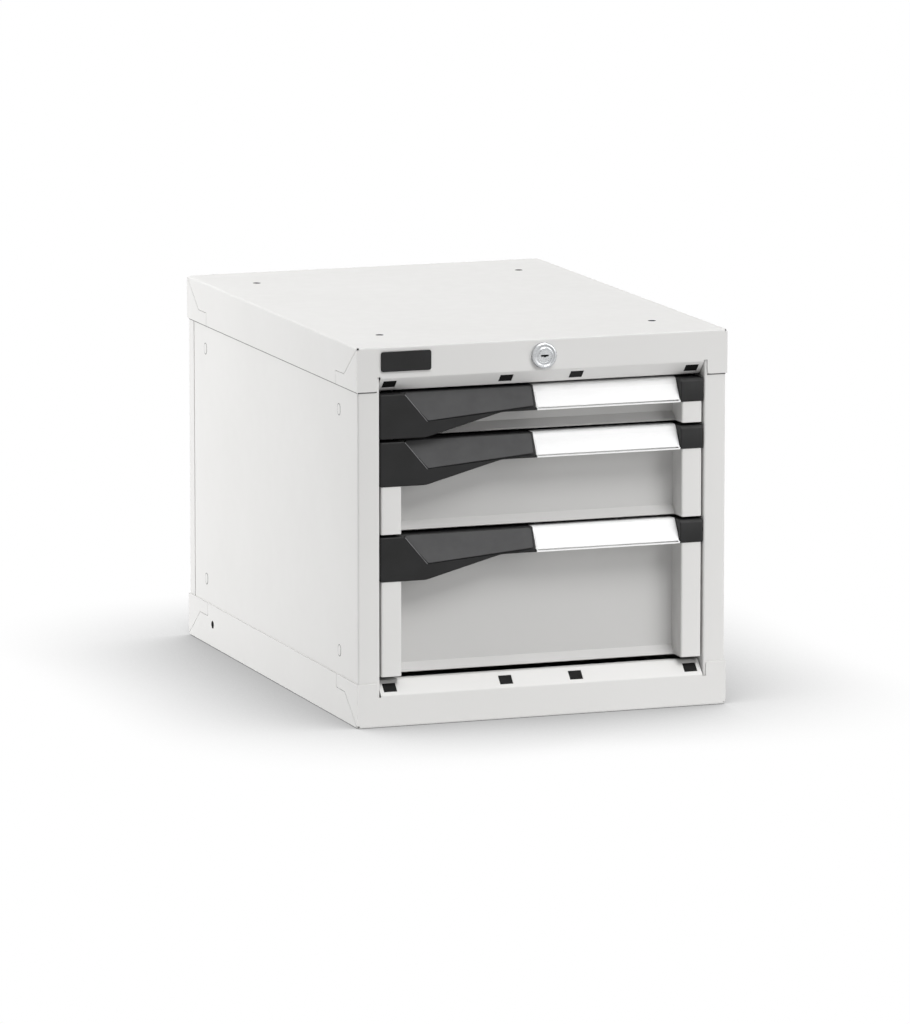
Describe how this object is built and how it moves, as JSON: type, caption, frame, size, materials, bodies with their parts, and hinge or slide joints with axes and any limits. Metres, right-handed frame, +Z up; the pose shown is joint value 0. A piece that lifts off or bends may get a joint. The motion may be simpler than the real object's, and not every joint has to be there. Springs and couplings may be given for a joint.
{
  "type": "multi-drawer cabinet",
  "caption": "Bench-top cabinet of folded sheet steel with full-extension drawers on telescopic runners, moulded grips with label holders, and a central lock.",
  "frame": {"origin": "middle of the plan of the cabinet's box, on the floor", "axes": "+X to the right seen from the front, +Y from the front to the rear, +Z up"},
  "size_m": [0.411, 0.5765, 0.4],
  "materials": {
    "body_paint": "light grey powder coat, satin, with a fine texture",
    "zinc_steel": "zinc plated steel",
    "black_plastic": "moulded black plastic, fine grain",
    "white_plastic": "smooth white plastic profile",
    "grey_pad": "soft dark grey plastic",
    "label_card": "blank white card",
    "nylon": "natural nylon",
    "lock_chrome": "satin chrome"
  },
  "bodies": {
    "cabinet": {"top_cover": "body_paint", "base_tray": "body_paint", "left_side_panel": "body_paint", "right_side_panel": "body_paint", "rear_panel": "body_paint", "front_left_upright": "zinc_steel", "front_right_upright": "zinc_steel", "rear_left_upright": "zinc_steel", "rear_right_upright": "zinc_steel", "frame_plugs": "black_plastic", "badge_plate": "black_plastic", "lock_barrel": "lock_chrome", "lock_nut": "zinc_steel", "lock_bar_guides": "zinc_steel", "bottom_left_cabinet_rail": "zinc_steel", "bottom_right_cabinet_rail": "zinc_steel", "middle_left_cabinet_rail": "zinc_steel", "middle_right_cabinet_rail": "zinc_steel", "top_left_cabinet_rail": "zinc_steel", "top_right_cabinet_rail": "zinc_steel"},
    "bottom_drawer": {"bottom_drawer_tray": "body_paint", "bottom_drawer_front": "body_paint", "bottom_handle_grip": "black_plastic", "bottom_grip_pad": "grey_pad", "bottom_label_holder": "white_plastic", "bottom_label_card": "label_card", "bottom_end_cap": "black_plastic", "bottom_left_drawer_rail": "zinc_steel", "bottom_right_drawer_rail": "zinc_steel"},
    "bottom_runner": {"bottom_left_telescope_rail": "zinc_steel", "bottom_right_telescope_rail": "zinc_steel", "bottom_rail_glides": "nylon"},
    "middle_drawer": {"middle_drawer_tray": "body_paint", "middle_drawer_front": "body_paint", "middle_handle_grip": "black_plastic", "middle_grip_pad": "grey_pad", "middle_label_holder": "white_plastic", "middle_label_card": "label_card", "middle_end_cap": "black_plastic", "middle_left_drawer_rail": "zinc_steel", "middle_right_drawer_rail": "zinc_steel"},
    "middle_runner": {"middle_left_telescope_rail": "zinc_steel", "middle_right_telescope_rail": "zinc_steel", "middle_rail_glides": "nylon"},
    "top_drawer": {"top_drawer_tray": "body_paint", "top_drawer_front": "body_paint", "top_handle_grip": "black_plastic", "top_grip_pad": "grey_pad", "top_label_holder": "white_plastic", "top_label_card": "label_card", "top_end_cap": "black_plastic", "top_left_drawer_rail": "zinc_steel", "top_right_drawer_rail": "zinc_steel"},
    "top_runner": {"top_left_telescope_rail": "zinc_steel", "top_right_telescope_rail": "zinc_steel", "top_rail_glides": "nylon"},
    "lock_cylinder": {"lock_plug": "lock_chrome", "lock_cam": "zinc_steel"},
    "locking_bar": {"lock_bar": "zinc_steel"}
  },
  "joints": [
    {"name": "bottom_drawer_slide", "type": "slide", "parent": "cabinet", "child": "bottom_drawer", "axis": [0, -1, 0], "range_m": [0, 0.45]},
    {"name": "bottom_runner_slide", "type": "slide", "parent": "cabinet", "child": "bottom_runner", "axis": [0, -1, 0], "range_m": [0, 0.225]},
    {"name": "middle_drawer_slide", "type": "slide", "parent": "cabinet", "child": "middle_drawer", "axis": [0, -1, 0], "range_m": [0, 0.45]},
    {"name": "middle_runner_slide", "type": "slide", "parent": "cabinet", "child": "middle_runner", "axis": [0, -1, 0], "range_m": [0, 0.225]},
    {"name": "top_drawer_slide", "type": "slide", "parent": "cabinet", "child": "top_drawer", "axis": [0, -1, 0], "range_m": [0, 0.45]},
    {"name": "top_runner_slide", "type": "slide", "parent": "cabinet", "child": "top_runner", "axis": [0, -1, 0], "range_m": [0, 0.225]},
    {"name": "lock_turn", "type": "hinge", "parent": "cabinet", "child": "lock_cylinder", "pos_m": [0, -0.286, 0.3825], "axis": [0, -1, 0], "range_deg": [0, 91]},
    {"name": "locking_bar_slide", "type": "slide", "parent": "cabinet", "child": "locking_bar", "axis": [1, 0, 0], "range_m": [0, 0.01697]}
  ],
  "couplings": [
    {"joint": "bottom_runner_slide", "follows": "bottom_drawer_slide", "ratio": 0.5},
    {"joint": "middle_runner_slide", "follows": "middle_drawer_slide", "ratio": 0.5},
    {"joint": "top_runner_slide", "follows": "top_drawer_slide", "ratio": 0.5},
    {"joint": "lock_turn", "follows": "locking_bar_slide", "rad_per_m": 92.56}
  ]
}
